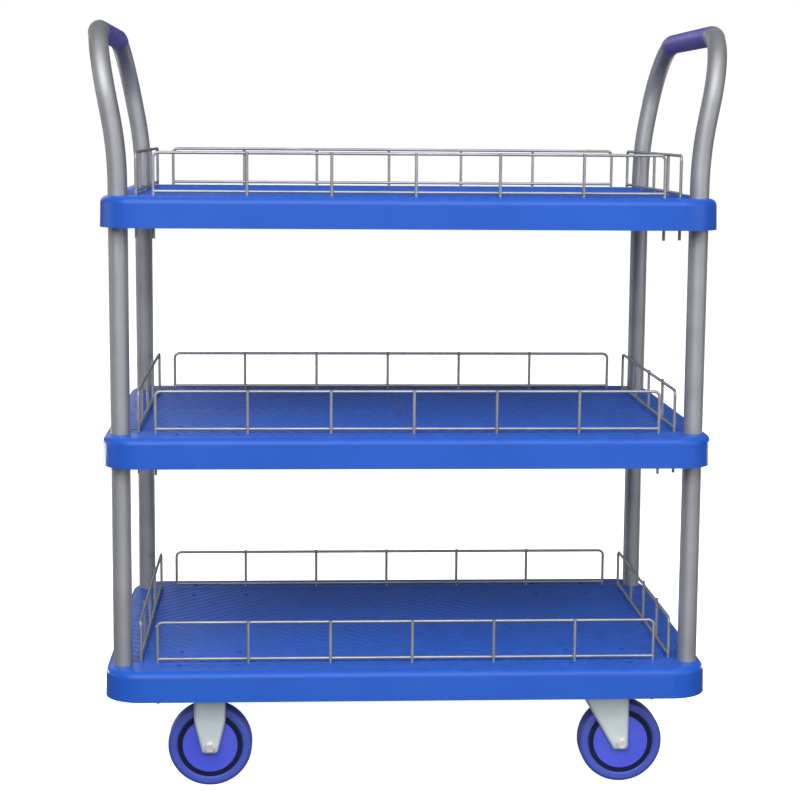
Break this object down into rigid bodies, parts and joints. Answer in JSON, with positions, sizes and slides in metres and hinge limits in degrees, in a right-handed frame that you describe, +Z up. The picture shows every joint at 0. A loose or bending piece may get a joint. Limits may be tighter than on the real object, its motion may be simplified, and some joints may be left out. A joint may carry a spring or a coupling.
{
  "type": "three-tier platform cart",
  "caption": "Tiered platform cart with moulded decks on tube posts, wire guard rails, a bent push handle at each end, and rigid and swivel casters.",
  "frame": {"origin": "on the ground under the middle of the decks", "axes": "+X along the decks towards the swivel casters, +Y towards the rear, +Z up"},
  "size_m": [0.948, 0.605, 1.15],
  "materials": {
    "deck_plastic": "satin moulded blue",
    "grip_sleeve": "smooth blue sleeve",
    "tube_steel": "satin silver tube",
    "rail_wire": "bright plated wire",
    "zinc_sheet": "pale zinc plate",
    "tyre_blue": "satin violet-blue tread",
    "rim_black": "black moulding",
    "cover_blue": "violet-blue disc",
    "fastener_steel": "plated steel"
  },
  "bodies": {
    "cart": {"caster_fasteners": "fastener_steel", "deck_bottom": "deck_plastic", "deck_middle": "deck_plastic", "deck_top": "deck_plastic", "handle_grip_left": "grip_sleeve", "handle_grip_right": "grip_sleeve", "handle_left": "tube_steel", "handle_right": "tube_steel", "kingpins": "fastener_steel", "lower_post_front_left": "tube_steel", "lower_post_front_right": "tube_steel", "lower_post_rear_left": "tube_steel", "lower_post_rear_right": "tube_steel", "post_foot_bolts": "fastener_steel", "post_plugs": "fastener_steel", "post_studs": "fastener_steel", "rail_bottom_front": "rail_wire", "rail_bottom_left": "rail_wire", "rail_bottom_rear": "rail_wire", "rail_bottom_right": "rail_wire", "rail_middle_front": "rail_wire", "rail_middle_left": "rail_wire", "rail_middle_rear": "rail_wire", "rail_middle_right": "rail_wire", "rail_top_front": "rail_wire", "rail_top_left": "rail_wire", "rail_top_rear": "rail_wire", "rail_top_right": "rail_wire", "rigid_axles": "fastener_steel", "rigid_bracket_front": "zinc_sheet", "rigid_bracket_rear": "zinc_sheet", "swivel_plate_front": "zinc_sheet", "swivel_plate_rear": "zinc_sheet", "threaded_inserts": "fastener_steel", "upper_post_front_left": "tube_steel", "upper_post_front_right": "tube_steel", "upper_post_rear_left": "tube_steel", "upper_post_rear_right": "tube_steel"},
    "rigid_wheel_front": {"rigid_wheel_front_bearings": "fastener_steel", "rigid_wheel_front_covers": "cover_blue", "rigid_wheel_front_rim": "rim_black", "rigid_wheel_front_tyre": "tyre_blue"},
    "rigid_wheel_rear": {"rigid_wheel_rear_bearings": "fastener_steel", "rigid_wheel_rear_covers": "cover_blue", "rigid_wheel_rear_rim": "rim_black", "rigid_wheel_rear_tyre": "tyre_blue"},
    "swivel_front": {"swivel_axle_front": "fastener_steel", "swivel_balls_front": "fastener_steel", "swivel_fork_front": "zinc_sheet"},
    "swivel_rear": {"swivel_axle_rear": "fastener_steel", "swivel_balls_rear": "fastener_steel", "swivel_fork_rear": "zinc_sheet"},
    "swivel_wheel_front": {"swivel_wheel_front_bearings": "fastener_steel", "swivel_wheel_front_covers": "cover_blue", "swivel_wheel_front_rim": "rim_black", "swivel_wheel_front_tyre": "tyre_blue"},
    "swivel_wheel_rear": {"swivel_wheel_rear_bearings": "fastener_steel", "swivel_wheel_rear_covers": "cover_blue", "swivel_wheel_rear_rim": "rim_black", "swivel_wheel_rear_tyre": "tyre_blue"}
  },
  "joints": [
    {"name": "front_swivel", "type": "hinge", "parent": "cart", "child": "swivel_front", "pos_m": [0.294, -0.222, 0.0635], "axis": [0, 0, 1], "continuous": true},
    {"name": "front_swivel_wheel_spin", "type": "hinge", "parent": "swivel_front", "child": "swivel_wheel_front", "pos_m": [0.33, -0.222, 0.0635], "axis": [0, 1, 0], "continuous": true},
    {"name": "front_rigid_wheel_spin", "type": "hinge", "parent": "cart", "child": "rigid_wheel_front", "pos_m": [-0.298, -0.222, 0.0635], "axis": [0, 1, 0], "continuous": true},
    {"name": "rear_swivel", "type": "hinge", "parent": "cart", "child": "swivel_rear", "pos_m": [0.294, 0.222, 0.0635], "axis": [0, 0, 1], "continuous": true},
    {"name": "rear_swivel_wheel_spin", "type": "hinge", "parent": "swivel_rear", "child": "swivel_wheel_rear", "pos_m": [0.33, 0.222, 0.0635], "axis": [0, 1, 0], "continuous": true},
    {"name": "rear_rigid_wheel_spin", "type": "hinge", "parent": "cart", "child": "rigid_wheel_rear", "pos_m": [-0.298, 0.222, 0.0635], "axis": [0, 1, 0], "continuous": true}
  ]
}
